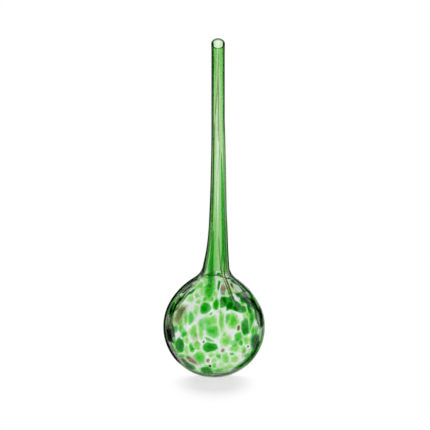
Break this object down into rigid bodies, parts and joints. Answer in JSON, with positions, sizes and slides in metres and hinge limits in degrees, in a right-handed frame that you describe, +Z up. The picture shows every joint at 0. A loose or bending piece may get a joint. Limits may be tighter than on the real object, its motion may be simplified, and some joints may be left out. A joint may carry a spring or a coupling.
{
  "type": "watering globe",
  "caption": "Hollow blown-glass ball speckled with green chips on a long tapering hollow stem with a slant-cut mouth; filled with water and pushed stem-down into plant soil.",
  "frame": {"origin": "lowest point of the ball, on the ball's upright axis, as it is stored with the stem up", "axes": "+Z up the stem towards its mouth, -Y the front, which the slanting mouth faces, +X to the right"},
  "size_m": [0.09, 0.09, 0.3],
  "materials": {
    "clear_glass": "clear blown glass with a faint lilac cast, fire-polished",
    "seam_glass": "dark green glass line, fire-polished",
    "stem_green_glass": "mid-green blown glass, fire-polished",
    "pale_green_glass": "pale green glass chips and streaks, melted in",
    "mid_green_glass": "leaf-green glass chips, melted in",
    "deep_green_glass": "deep green glass chips and canes, melted in",
    "mauve_glass": "grey-mauve glass chips and threads, melted in",
    "brown_glass": "olive-brown glass specks, melted in"
  },
  "bodies": {
    "root": {"globe_wall": "clear_glass", "neck_seam_ring": "seam_glass", "stem_taper": "stem_green_glass", "stem_tube": "stem_green_glass", "stem_mauve_threads": "mauve_glass", "stem_deep_green_streaks": "deep_green_glass", "stem_pale_streaks": "pale_green_glass", "pale_green_chips": "pale_green_glass", "mid_green_chips": "mid_green_glass", "deep_green_chips": "deep_green_glass", "mauve_chips": "mauve_glass", "brown_chips": "brown_glass"}
  },
  "joints": []
}
